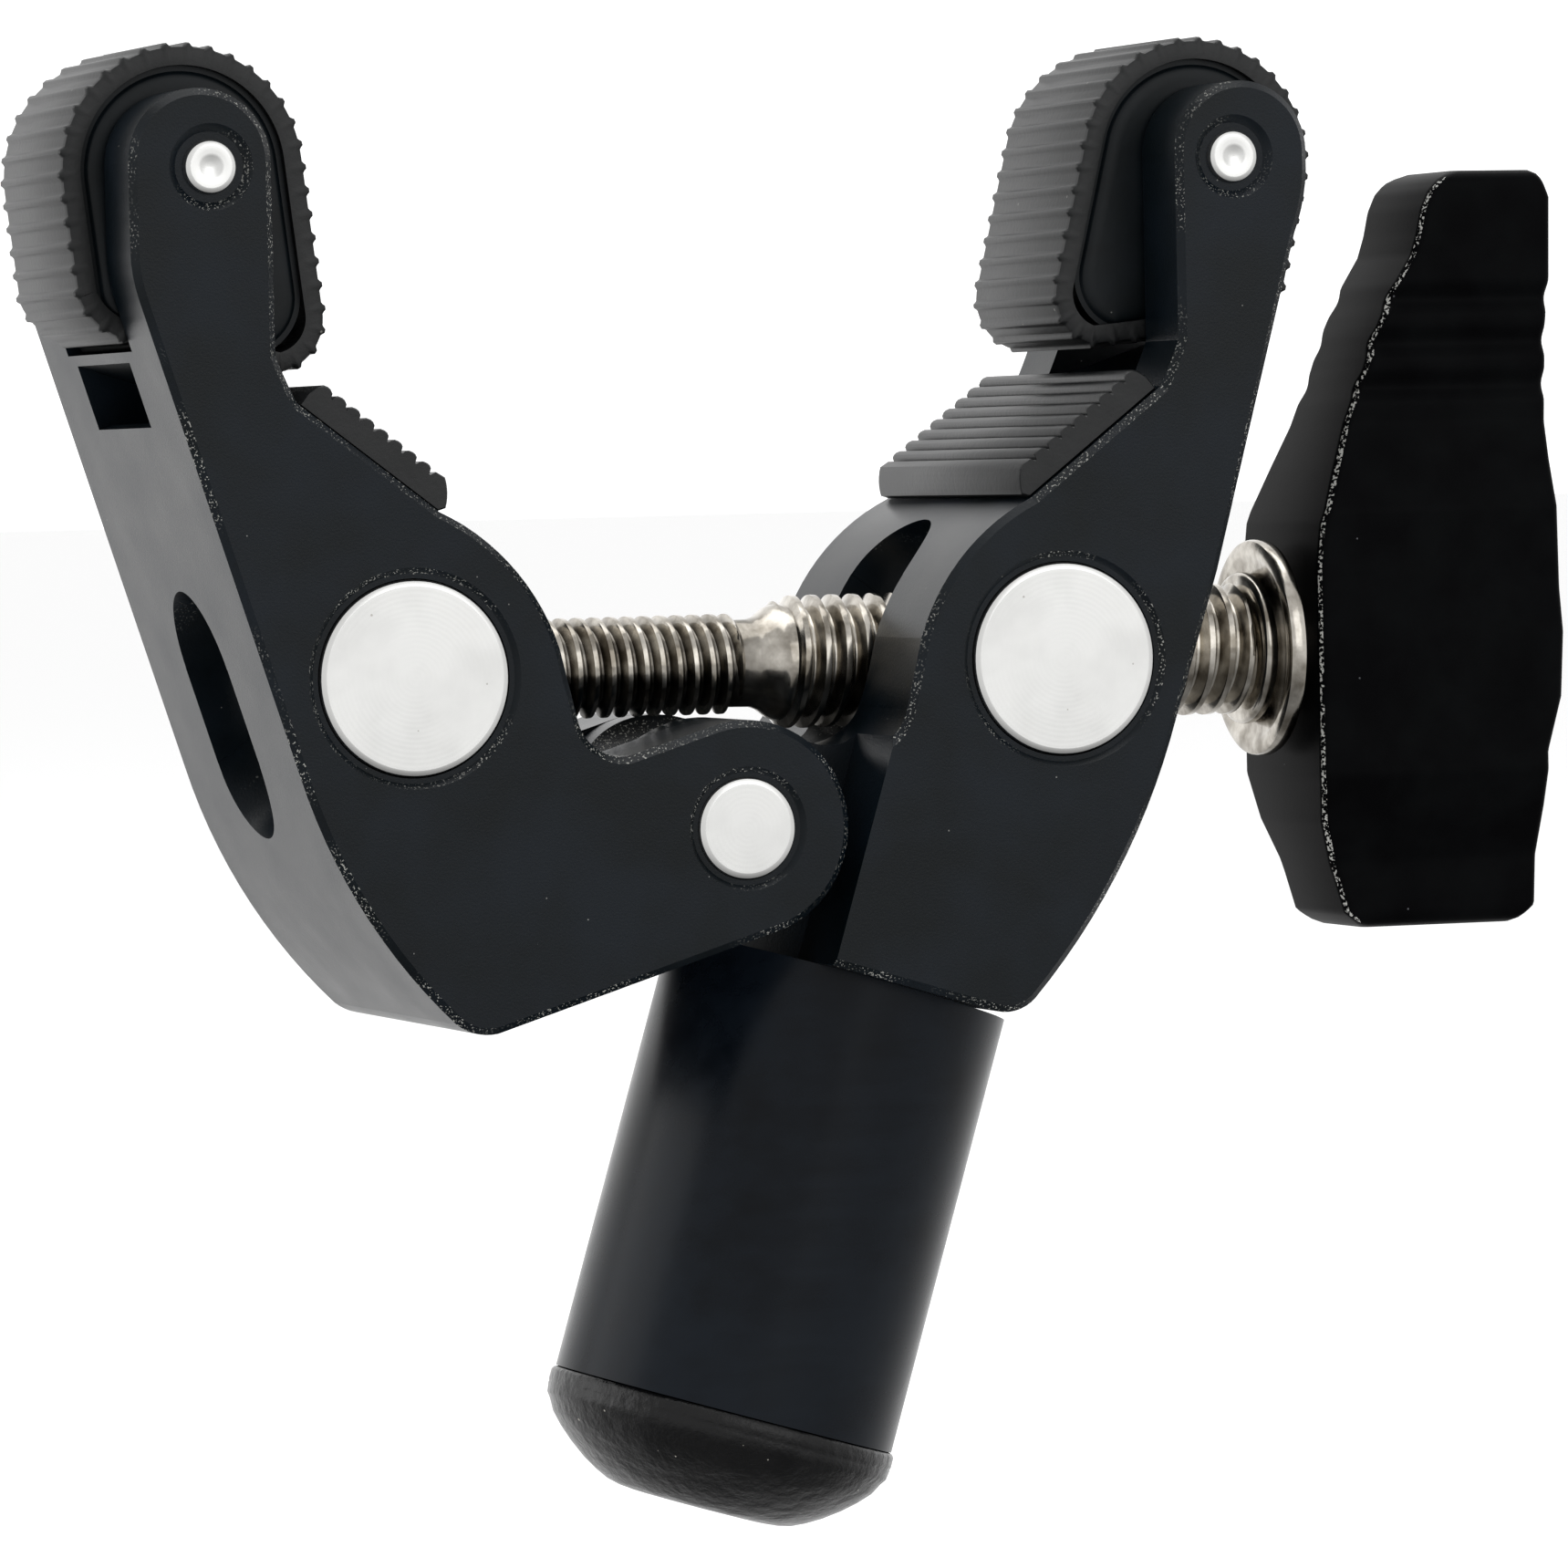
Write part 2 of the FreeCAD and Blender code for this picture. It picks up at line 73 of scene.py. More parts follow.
def addNode(tree, kind, settings=None, links=None):
    node = tree.nodes.new("ShaderNode" + kind)
    for key, value in (settings or {}).items():
        if key == "stops":
            ramp = node.color_ramp.elements
            while len(ramp) < len(value):
                ramp.new(0.5)
            for element, (place, colour) in zip(ramp, value):
                element.position = place
                element.color = hexColour(colour) if isinstance(colour, str) else [colour] * 3 + [1]
        elif isinstance(key, int):
            node.inputs[key].default_value = value
        elif key in node.inputs and not hasattr(node, key):
            node.inputs[key].default_value = hexColour(value) if isinstance(value, str) else value
        else:
            setattr(node, key, value)
    for key, source in (links or {}).items():
        tree.links.new(source, node.inputs[key])
    return node


def newMaterial(name):
    material = bpy.data.materials.new(name)
    material.use_nodes = True
    tree = material.node_tree
    tree.nodes.clear()
    return material, tree


def finishMaterial(tree, shader):
    addNode(tree, "OutputMaterial", links={"Surface": shader.outputs[0]})


def centreOf(node):
    low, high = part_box(node)
    return (low + high) / 2


def axisTurn(axis):
    # turns local +X onto this axis, keeping local Y where it is
    x = Vector(axis).normalized()
    y = Vector((0, 1, 0))
    z = x.cross(y).normalized()
    return Matrix((x, y, z)).transposed().to_4x4()


def makePiece(name, mesh, place, material, body, slotName, *nodes):
    # mesh is in millimetres about the piece's own origin; its turn goes into the mesh itself
    mesh.transform(place.to_quaternion().to_matrix().to_4x4() @ Matrix.Scale(mm, 4))
    mesh.materials.append(material)
    mesh.update()
    piece = bpy.data.objects.new(name, mesh)
    bpy.context.scene.collection.objects.link(piece)
    piece.location = place.translation
    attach(piece, body)
    if nodes:
        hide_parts(*nodes)
    return piece


def toMesh(name, shape, sharpAngle=32):
    bmesh.ops.remove_doubles(shape, verts=shape.verts, dist=1e-4)
    bmesh.ops.dissolve_degenerate(shape, edges=shape.edges, dist=1e-5)
    bmesh.ops.recalc_face_normals(shape, faces=shape.faces)
    mesh = bpy.data.meshes.new(name)
    shape.to_mesh(mesh)
    shape.free()
    mesh.shade_smooth()
    mesh.set_sharp_from_angle(angle=math.radians(sharpAngle))
    return mesh


def addRings(shape, rings, closed=False):
    # joins rings of equal length, and either caps both ends or joins the last ring to the first
    rows = [[shape.verts.new(p) for p in ring] for ring in rings]
    count = len(rows[0])
    for lower, upper in zip(rows, rows[1:] + rows[:1] if closed else rows[1:]):
        for i in range(count):
            j = (i + 1) % count
            shape.faces.new((lower[i], lower[j], upper[j], upper[i]))
    if not closed:
        shape.faces.new(rows[0][::-1])
        shape.faces.new(rows[-1])


def addTurned(shape, profile, steps=72):
    # profile is a list of (along x, radius)
    rings = []
    for along, radius in profile:
        ring = []
        for i in range(steps):
            angle = 2 * math.pi * i / steps
            ring.append((along, radius * math.cos(angle), radius * math.sin(angle)))
        rings.append(ring)
    addRings(shape, rings)


def throughArc(start, middle, end, steps):
    # points on the arc from start to end by way of middle, without the first one
    (ax, az), (bx, bz), (cx, cz) = start, middle, end
    d = 2 * (ax * (bz - cz) + bx * (cz - az) + cx * (az - bz))
    ux = ((ax**2 + az**2) * (bz - cz) + (bx**2 + bz**2) * (cz - az) + (cx**2 + cz**2) * (az - bz)) / d
    uz = ((ax**2 + az**2) * (cx - bx) + (bx**2 + bz**2) * (ax - cx) + (cx**2 + cz**2) * (bx - ax)) / d
    radius = math.hypot(ax - ux, az - uz)
    first, mid, last = (math.atan2(z - uz, x - ux) for x, z in (start, middle, end))
    turn = (last - first) % (2 * math.pi)
    if (mid - first) % (2 * math.pi) > turn:
        turn -= 2 * math.pi
    angles = [first + turn * k / steps for k in range(1, steps + 1)]
    return [(ux + radius * math.cos(angle), uz + radius * math.sin(angle)) for angle in angles]


def resample(points, step):
    # evenly spaced points round a closed outline, with the outward normal at each
    closed = points + [points[0]]
    lengths = [math.dist(a, b) for a, b in zip(closed, closed[1:])]
    total = sum(lengths)
    count = round(total / step)
    found, travelled, k = [], 0.0, 0
    for i in range(count):
        goal = total * i / count
        while travelled + lengths[k] < goal:
            travelled += lengths[k]
            k += 1
        share = (goal - travelled) / lengths[k]
        a, b = closed[k], closed[k + 1]
        found.append((a[0] + (b[0] - a[0]) * share, a[1] + (b[1] - a[1]) * share))
    area = sum(a[0] * b[1] - b[0] * a[1] for a, b in zip(found, found[1:] + found[:1]))
    side = 1 if area > 0 else -1
    result = []
    for i, here in enumerate(found):
        before, after = found[i - 1], found[(i + 1) % count]
        tx, tz = after[0] - before[0], after[1] - before[1]
        size = math.hypot(tx, tz)
        result.append((here, (tz / size * side, -tx / size * side), total * i / count))
    return result, total


def smoothStep(value):
    value = min(max(value, 0.0), 1.0)
    return value * value * (3 - 2 * value)


def between(value, table):
    # reads a table of (place, value) pairs along straight lines
    for (a, va), (b, vb) in zip(table, table[1:]):
        if value <= b:
            return va + (vb - va) * min(max((value - a) / (b - a), 0), 1)
    return table[-1][1]


# materials

def mottled(tree, place, look):
    # a cloudy blend of the look's two tones; gives the cloud and the colour
    size, detail, low, high = look["cloud"]
    cloud = addNode(tree, "TexNoise", {"Scale": perSize(size), "Detail": detail}, {"Vector": place})
    tone = addNode(tree, "ValToRGB", {"stops": [(low, look["dark"]), (high, look["light"])]},
                   {"Fac": cloud.outputs["Fac"]})
    return cloud.outputs["Fac"], tone.outputs["Color"]


grainRoughness = 0.6


def grainBump(tree, place, size, depth, strength, detail):
    grain = addNode(tree, "TexNoise", {"Scale": perSize(size), "Detail": detail, "Roughness": grainRoughness},
                    {"Vector": place})
    bump = addNode(tree, "Bump", {"Strength": strength, "Distance": depth * mm},
                   {"Height": grain.outputs["Fac"]})
    return bump.outputs["Normal"]


def varied(tree, source, middle, below, above, low=0.0, high=1.0):
    # a roughness that follows the cloud
    node = addNode(tree, "MapRange", {"From Min": low, "From Max": high, "To Min": middle - below,
                                      "To Max": middle + above}, {"Value": source})
    return node.outputs[0]


def passes(tree, source, test, level):
    return addNode(tree, "Math", {"operation": test, 1: level}, {0: source}).outputs[0]


def times(tree, first, second):
    return addNode(tree, "Math", {"operation": "MULTIPLY"}, {0: first, 1: second}).outputs[0]


def speckMask(tree, place, spacing, width, share):
    # small round specks: one in every cell of this spacing, and only in a share of the cells
    cells = addNode(tree, "TexVoronoi", {"Scale": perSize(spacing)}, {"Vector": place})
    near = passes(tree, cells.outputs["Distance"], "LESS_THAN", width / spacing / 2)
    split = addNode(tree, "SeparateColor", links={0: cells.outputs["Color"]})
    return times(tree, near, passes(tree, split.outputs[0], "LESS_THAN", share))


def mixColour(tree, mask, under, over):
    node = addNode(tree, "Mix", {"data_type": "RGBA"}, {"Factor": mask})
    underSocket, overSocket = node.inputs[6], node.inputs[7]
    tree.links.new(under, underSocket)
    overSocket.default_value = hexColour(over)
    return node.outputs[2]


def rubbedEdges(tree, spots, look):
    # flecks on the small bevels between a flat face and a side, found by how far the normal leans from Y
    rub = addNode(tree, "TexNoise", {"Scale": perSize(look["rubSize"]), "Detail": 2.0},
                  {"Vector": spots.outputs["Object"]})
    flecks = passes(tree, rub.outputs["Fac"], "GREATER_THAN", look["rubLevel"])
    split = addNode(tree, "SeparateXYZ", links={0: spots.outputs["Normal"]})
    lean = addNode(tree, "Math", {"operation": "ABSOLUTE"}, {0: split.outputs["Y"]}).outputs[0]
    low, high = look["bevel"]
    band = times(tree, passes(tree, lean, "GREATER_THAN", low), passes(tree, lean, "LESS_THAN", high))
    return times(tree, band, flecks)


def patchyWear(tree, spots, look):
    # edges rubbed only in patches
    patches = addNode(tree, "TexNoise", {"Scale": perSize(look["patchSize"]), "Detail": 1.0},
                      {"Vector": spots.outputs["Object"]})
    low, high = look["patch"]
    patchy = addNode(tree, "ValToRGB", {"stops": [(low, 0.0), (high, 1.0)]}, {"Fac": patches.outputs["Fac"]})
    return times(tree, rubbedEdges(tree, spots, look), patchy.outputs["Color"])


def nearSideWear(tree, spots, look):
    # only the edge on the near side, where the hand turns it
    facing = addNode(tree, "SeparateXYZ", links={0: spots.outputs["Normal"]})
    nearSide = passes(tree, facing.outputs["X"], "LESS_THAN", look["nearLimit"])
    return times(tree, rubbedEdges(tree, spots, look), nearSide)


def makeFinish(name, look, wear=None):
    # a mottled colour with stray specks, a fine grain and, where there is any, wear on its edges
    material, tree = newMaterial(name)
    spots = addNode(tree, "TexCoord")
    place = spots.outputs["Object"]
    cloud, colour = mottled(tree, place, look)
    colour = mixColour(tree, speckMask(tree, place, *look["specks"]), colour, look["speck"])
    if wear:
        colour = mixColour(tree, wear(tree, spots, look), colour, look["worn"])
    settings = {"Specular IOR Level": look["specular"], "Roughness": look["roughness"]}
    links = {"Base Color": colour, "Normal": grainBump(tree, place, *look["grain"])}
    if "spread" in look:
        links["Roughness"] = varied(tree, cloud, look["roughness"], *look["spread"])
    finishMaterial(tree, addNode(tree, "BsdfPrincipled", settings, links))
    return material


# In the looks, "cloud" is size in mm, detail, and where the two tones start and end;
# "specks" is spacing and width in mm, and the share of cells; "grain" is size and depth in mm,
# strength and detail; "spread" is how far roughness falls and rises round its middle, and then,
# for the tube, the stretch of the cloud that it follows.

# epoxy powder coat on die-cast alloy: satin blue-black, finely pebbled, rubbed bright on its edges
coatLook = {
    "dark": "#03090d", "light": "#091118", "cloud": (5.0, 4.0, 0.35, 0.68),
    "speck": "#6f6f6c", "specks": (0.6, 0.09, 0.04), "grain": (0.14, 0.02, 0.6, 3.0),
    "worn": "#8b8b86", "rubSize": 0.13, "rubLevel": 0.62, "bevel": (0.5, 0.9),
    "patchSize": 6.0, "patch": (0.42, 0.58), "roughness": 0.30, "spread": (0.06, 0.08), "specular": 0.20,
}

# moulded nitrile rubber: matte charcoal with a dusty bloom and stray lint
rubberLook = {
    "dark": "#0d0f10", "light": "#171819", "cloud": (2.2, 5.0, 0.3, 0.7),
    "speck": "#6a6965", "specks": (1.1, 0.16, 0.10), "grain": (0.35, 0.03, 0.6, 3.0),
    "roughness": 0.42, "specular": 0.36,
}

# moulded nylon: smooth near-black with a soft sheen
nylonLook = {
    "dark": "#04090c", "light": "#0b1115", "cloud": (3.0, 3.0, 0.35, 0.7),
    "speck": "#5f605d", "specks": (0.9, 0.1, 0.05), "grain": (0.5, 0.015, 0.5, 3.0),
    "roughness": 0.40, "specular": 0.2,
}

# satin black paint over a moulded wing: very dark, with bright flecks where its near edge is rubbed
paintLook = {
    "dark": "#040405", "light": "#08090a", "cloud": (4.0, 3.0, 0.35, 0.7),
    "speck": "#4a4b4e", "specks": (1.2, 0.12, 0.06), "grain": (0.16, 0.012, 0.5, 3.0),
    "worn": "#a8a8a4", "rubSize": 0.17, "rubLevel": 0.54, "bevel": (0.4, 0.8), "nearLimit": -0.3,
    "roughness": 0.40, "specular": 0.022,
}

# moulded vinyl: glossy black skin with pits, flow lines and flecks of flash
vinylLook = {
    "dark": "#040405", "light": "#0b0b0c", "cloud": (3.0, 5.0, 0.35, 0.7),
    "speck": "#8a867f", "specks": (0.8, 0.15, 0.2), "grain": (1.4, 0.25, 0.7, 6.0),
    "roughness": 0.24, "spread": (0.1, 0.14), "specular": 0.3,
}

steelLook = {
    "light": "#e6e6e4", "dark": "#dcdcda", "cloud": (3.5, 4.0, 0.35, 0.62),
    "speck": "#b9b7b2", "specks": (1.3, 0.14, 0.2), "roughness": 0.30, "spread": (0.07, 0.08),
    "ringSize": 0.45, "ringDepth": 0.008, "ringStrength": 0.07, "ringWobble": 0.6,
}


def makePinSteel():
    # turned and ground steel: nearly white, with fine rings and a few handling marks
    look = steelLook
    material, tree = newMaterial("groundSteel")
    place = addNode(tree, "TexCoord").outputs["Object"]
    cloud, colour = mottled(tree, place, look)
    colour = mixColour(tree, speckMask(tree, place, *look["specks"]), colour, look["speck"])
    rings = addNode(tree, "TexWave", {"wave_type": "RINGS", "rings_direction": "Y", "Detail": 2.0,
                                      "Distortion": look["ringWobble"],
                                      "Scale": perSize(look["ringSize"]) / 2}, {"Vector": place})
    bump = addNode(tree, "Bump", {"Strength": look["ringStrength"], "Distance": look["ringDepth"] * mm},
                   {"Height": rings.outputs["Fac"]})
    rough = varied(tree, cloud, look["roughness"], *look["spread"])
    links = {"Base Color": colour, "Normal": bump.outputs["Normal"], "Roughness": rough}
    finishMaterial(tree, addNode(tree, "BsdfPrincipled", {"Metallic": 1.0}, links))
    return material


# root is a painted shade colour, laid into the thread roots where shade falls
nickelLook = {
    "light": "#cbc6bd", "dark": "#7f796f", "cloud": (1.6, 5.0, 0.35, 0.65), "root": "#2a2722",
    "rootRadius": 2.25, "crestRadius": 2.75, "rootShadeShare": 0.75, "grain": (0.5, 0.01, 0.5, 3.0),
    "roughness": 0.15, "spread": (0.06, 0.1),
}


def makeNickelPlate():
    # nickel plate on rolled threads: warm mirror crests, with painted shade that darkens the colour down into
    # the thread roots
    look = nickelLook
    material, tree = newMaterial("nickelPlate")
    place = addNode(tree, "TexCoord").outputs["Object"]
    cloud, colour = mottled(tree, place, look)
    split = addNode(tree, "SeparateXYZ", links={0: place})
    squares = [addNode(tree, "Math", {"operation": "POWER", 1: 2.0}, {0: split.outputs[axis]}).outputs[0]
               for axis in ("Y", "Z")]
    total = addNode(tree, "Math", {"operation": "ADD"}, {0: squares[0], 1: squares[1]})
    radius = addNode(tree, "Math", {"operation": "SQRT"}, {0: total.outputs[0]})
    # painted shade: the colour darkens towards the thread roots, by distance from the screw's axis
    deep = addNode(tree, "MapRange", {"From Min": look["rootRadius"] * mm,
                                      "From Max": look["crestRadius"] * mm,
                                      "To Min": look["rootShadeShare"], "To Max": 0.0},
                   {"Value": radius.outputs[0]})
    colour = mixColour(tree, deep.outputs[0], colour, look["root"])
    rough = varied(tree, cloud, look["roughness"], *look["spread"])
    links = {"Base Color": colour, "Normal": grainBump(tree, place, *look["grain"]), "Roughness": rough}
    finishMaterial(tree, addNode(tree, "BsdfPrincipled", {"Metallic": 1.0}, links))
    return material


tubeLook = {
    "dark": "#03060b", "light": "#0c1219", "low": 0.5, "high": 0.95, "cloudSize": 7.0, "cloudDetail": 3.0,
    "streakSize": 1.2, "streakDetail": 4.0, "streakShare": 0.5, "streakDepth": 0.01, "streakStrength": 0.2,
    "stretch": 0.06, "roughness": 0.26, "spread": (0.06, 0.08, 0.4, 1.1), "specular": 0.15,
}


def makeAnodised(lean):
    # black anodised aluminium: cold blue-black, with faint lengthwise streaks and cloudy handling marks
    look = tubeLook
    material, tree = newMaterial("anodisedAluminium")
    place = addNode(tree, "TexCoord").outputs["Object"]
    along = addNode(tree, "Mapping", {"Rotation": (0, lean, 0), "Scale": (look["stretch"], 1.0, 1.0)},
                    {"Vector": place})
    streak = addNode(tree, "TexNoise", {"Scale": perSize(look["streakSize"]), "Detail": look["streakDetail"]},
                     {"Vector": along.outputs[0]})
    cloud = addNode(tree, "TexNoise", {"Scale": perSize(look["cloudSize"]), "Detail": look["cloudDetail"]},
                    {"Vector": place})
    both = addNode(tree, "Math", {"operation": "MULTIPLY_ADD", 1: look["streakShare"]},
                   {0: streak.outputs["Fac"], 2: cloud.outputs["Fac"]}).outputs[0]
    stops = [(look["low"], look["dark"]), (look["high"], look["light"])]
    tone = addNode(tree, "ValToRGB", {"stops": stops}, {"Fac": both})
    bump = addNode(tree, "Bump", {"Strength": look["streakStrength"], "Distance": look["streakDepth"] * mm},
                   {"Height": streak.outputs["Fac"]})
    links = {"Base Color": tone.outputs["Color"], "Normal": bump.outputs["Normal"],
             "Roughness": varied(tree, both, look["roughness"], *look["spread"])}
    finishMaterial(tree, addNode(tree, "BsdfPrincipled", {"Specular IOR Level": look["specular"]}, links))
    return material


zincLook = {"dark": "#9aa0a4", "light": "#c3c6c6", "cloud": (2.0, 4.0, 0.3, 0.7), "roughness": 0.38}


def makeZincPlate():
    # zinc plated steel, hidden inside the bar: dull silver with a faint blue cast
    material, tree = newMaterial("zincPlate")
    colour = mottled(tree, addNode(tree, "TexCoord").outputs["Object"], zincLook)[1]
    settings = {"Metallic": 1.0, "Roughness": zincLook["roughness"]}
    finishMaterial(tree, addNode(tree, "BsdfPrincipled", settings, {"Base Color": colour}))
    return material


barMount = next(mount for mount in frame["record"]["mounts"] if mount["name"] == "bar")
barAxis = barMount["axis"]
powderCoat = makeFinish("powderCoat", coatLook, patchyWear)
nitrileRubber = makeFinish("nitrileRubber", rubberLook)
mouldedNylon = makeFinish("mouldedNylon", nylonLook)
satinPaint = makeFinish("satinPaint", paintLook, nearSideWear)
mouldedVinyl = makeFinish("mouldedVinyl", vinylLook)
groundSteel = makePinSteel()
nickelPlate = makeNickelPlate()
anodised = makeAnodised(math.atan2(barAxis[2], barAxis[0]))
zincPlate = makeZincPlate()

keptFinishes = {
    "left_jaw": powderCoat, "right_jaw": powderCoat, "bar_tube": anodised,
    "bar_plug": zincPlate, "bolt_washer": zincPlate, "bar_bolt": zincPlate,
}
for nodeName, finish in keptFinishes.items():
    nodeObject = frame["nodes"][nodeName]
    for slotIndex in range(len(nodeObject.material_slots)):
        nodeObject.material_slots[slotIndex].material = finish
print("materials made")


# cross pins and barrel nuts

pinEnds = {
    "nutChamfer": 0.35, "pinChamfer": 0.3, "flatEdge": 0.05, "axis": 0.01, "steps": 96, "sharp": 32,
    "bendAlong": 0.35, "bendIn": 0.3,  # shares of the chamfer
    "dimpleDeep": 0.12, "dimple": [(0.1, 0.28), (0.02, 0.4)], "face": 0.5,  # depth and share of the radius
    "leftBore": 2.95, "rightBore": 3.92, "boreSteps": 64,
}


def addPinShape(shape, radius, halfLength, chamfer, ringed):
    # a pin along local Y; the turned profile is along X, so it is swung round after
    p, end = pinEnds, halfLength
    centre = [(-end, p["axis"])]
    if ringed:  # a peened head: a low ring round a small centre dimple
        centre = [(-end + p["dimpleDeep"], p["axis"])]
        centre += [(-end + deep, radius * share) for deep, share in p["dimple"]]
    half = centre + [(-end, radius * p["face"]), (-end, radius - chamfer - p["flatEdge"]),
                     (-end, radius - chamfer),
                     (-end + chamfer * p["bendAlong"], radius - chamfer * p["bendIn"]),
                     (-end + chamfer, radius)]
    addTurned(shape, half + [(-along, size) for along, size in reversed(half)], p["steps"])


def makePin(name, node, body, ringed=False, boreRadius=None):
    low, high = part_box(node)
    centre = (low + high) / 2
    radius = (high.x - low.x) / 2 / mm
    halfLength = (high.y - low.y) / 2 / mm
    shape = bmesh.new()
    chamfer = pinEnds["pinChamfer"] if ringed else pinEnds["nutChamfer"]
    addPinShape(shape, radius, halfLength, chamfer, ringed)
    quarterTurn = Matrix.Rotation(math.pi / 2, 3, "Z")
    bmesh.ops.rotate(shape, verts=shape.verts, cent=(0, 0, 0), matrix=quarterTurn)
    mesh = toMesh(name, shape)
    if boreRadius:
        mesh = bored(mesh, boreRadius, radius * 2)
    return makePiece(name, mesh, Matrix.Translation(centre), groundSteel, body, "pin_steel", node)


def bored(mesh, radius, length):
    # drills the screw's bore through a nut, along X
    nutObject = bpy.data.objects.new("nutBlank", mesh)
    drill = bmesh.new()
    addTurned(drill, [(-length, radius), (length, radius)], pinEnds["boreSteps"])
    drillObject = bpy.data.objects.new("drill", toMesh("drill", drill))
    for item in (nutObject, drillObject):
        bpy.context.scene.collection.objects.link(item)
    cut = nutObject.modifiers.new("bore", "BOOLEAN")
    cut.operation, cut.solver, cut.object = "DIFFERENCE", "EXACT", drillObject
    ready = nutObject.evaluated_get(bpy.context.evaluated_depsgraph_get())
    result = bpy.data.meshes.new_from_object(ready)
    for item in (nutObject, drillObject):
        bpy.data.objects.remove(item)
    result.shade_smooth()
    result.set_sharp_from_angle(angle=math.radians(pinEnds["sharp"]))
    return result


makePin("hinge_rivet", "hinge_pin", "moving_jaw")
makePin("left_pad_rivet", "left_pad_pin", "moving_jaw", ringed=True)
makePin("right_pad_rivet", "right_pad_pin", "fixed_jaw", ringed=True)
makePin("left_nut_turned", "left_barrel_nut", "left_nut", boreRadius=pinEnds["leftBore"])
makePin("right_nut_turned", "right_barrel_nut", "right_nut", boreRadius=pinEnds["rightBore"])
print("pins and nuts made")


# clamp screw: fine right-hand thread, plain neck, coarse left-hand thread, collar

screwSizes = {
    # places along the screw from the grip's middle, then radii, pitches and flats as shares of a pitch
    "tip": -23.6, "neckStart": 3.3, "coarseStart": 6.3, "collarStart": 34.9, "collarEnd": 35.75,
    "tail": 47.6,
    "fineRadius": 2.9, "finePitch": 1.0, "coarseRadius": 3.85, "coarsePitch": 1.25,
    "crestFlat": 0.26, "rootFlat": 0.14, "threadDepth": 0.6134, "soft": 0.035,
    "collarRadius": 4.45, "collarSoft": 0.25, "shank": 3.8, "core": 3.0, "neckRadius": 2.5,
    # how steeply each thread fades at its ends, and the radii that it fades to
    "fade": 1.2, "fineEnds": (1.9, 2.1), "coarseEnds": (2.9, 3.0), "steps": 80, "sharp": 40,
}


def addThread(shape, start, end, crest, pitch, hand, rootStart, rootEnd, steps=56):
    # a helical strip, one pitch wide, wound from before the start to past the end; its ends taper down
    root = crest - screwSizes["threadDepth"] * pitch
    crestHalf, rootHalf = screwSizes["crestFlat"] / 2, screwSizes["rootFlat"] / 2
    soft = screwSizes["soft"]
    section = [(0.0, root), (rootHalf, root + soft / 2), (0.5 - crestHalf - soft, crest - soft * 2.2),
               (0.5 - crestHalf, crest - soft / 3), (0.5, crest), (0.5 + crestHalf, crest - soft / 3),
               (0.5 + crestHalf + soft, crest - soft * 2.2), (1 - rootHalf, root + soft / 2)]
    turns = int((end - start) / pitch) + 4
    rows = []
    for k in range(turns * steps + 1):
        angle = 2 * math.pi * k / steps
        row = []
        for share, radius in section:
            along = start + pitch * (k / steps + share - 2)
            kept = min(max(along, start), end)
            fade = screwSizes["fade"]
            taper = min(rootStart + (kept - start) * fade, rootEnd + (end - kept) * fade)
            radius = min(radius, taper)
            row.append(shape.verts.new((kept, radius * math.cos(angle), hand * radius * math.sin(angle))))
        rows.append(row)
    across = len(section)
    for k in range(len(rows) - 1):
        for i in range(across):
            if i + 1 < across:
                shape.faces.new((rows[k][i], rows[k + 1][i], rows[k + 1][i + 1], rows[k][i + 1]))
            elif k + steps + 1 < len(rows):
                shape.faces.new((rows[k][i], rows[k + 1][i], rows[k + 1 + steps][0], rows[k + steps][0]))


def cleanThread(shape):
    # merges the wound-up ends and closes them with flat caps
    bmesh.ops.remove_doubles(shape, verts=shape.verts, dist=1e-4)
    bmesh.ops.dissolve_degenerate(shape, edges=shape.edges, dist=1e-5)
    bmesh.ops.holes_fill(shape, edges=[e for e in shape.edges if e.is_boundary], sides=0)


def makeScrew():
    s = screwSizes
    low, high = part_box("clamp_screw")
    place = Matrix.Translation((0, (low.y + high.y) / 2, (low.z + high.z) / 2))
    whole = bmesh.new()
    parts = []
    fine = (s["tip"], s["neckStart"] + 0.5, s["fineRadius"], s["finePitch"], 1, *s["fineEnds"])
    coarse = (s["coarseStart"] - 0.7, s["collarStart"] + 0.3, s["coarseRadius"], s["coarsePitch"], -1,
              *s["coarseEnds"])
    for threadSizes in (fine, coarse):
        thread = bmesh.new()
        addThread(thread, *threadSizes)
        cleanThread(thread)
        parts.append(toMesh("thread", thread, s["sharp"]))
    plain = bmesh.new()
    neck, neckEnd = s["neckRadius"], s["coarseStart"]
    addTurned(plain, [(s["neckStart"] - 0.6, neck - 0.4), (s["neckStart"] - 0.1, neck), (4.4, neck + 0.03),
                      (4.9, neck + 0.2), (5.5, 3.15), (neckEnd - 0.25, 3.4), (neckEnd + 0.8, 3.2)],
              s["steps"])
    ring, begin, end, soft = s["collarRadius"], s["collarStart"], s["collarEnd"], s["collarSoft"]
    addTurned(plain, [(begin, s["core"]), (begin, ring - soft), (begin + 0.08, ring - 0.08),
                      (begin + soft, ring), (end - soft, ring), (end - 0.05, ring - 0.1), (end, ring - 0.3),
                      (end, s["shank"]), (s["tail"], s["shank"])], s["steps"])
    parts.append(toMesh("plain", plain))
    for part in parts:
        whole.from_mesh(part)
    mesh = bpy.data.meshes.new("screw_threads")
    whole.to_mesh(mesh)
    whole.free()
    mesh.shade_smooth()
    mesh.set_sharp_from_angle(angle=math.radians(s["sharp"]))
    for part in parts:
        bpy.data.meshes.remove(part)
    return makePiece("screw_threads", mesh, place, nickelPlate, "screw", "screw_plate", "clamp_screw")


makeScrew()

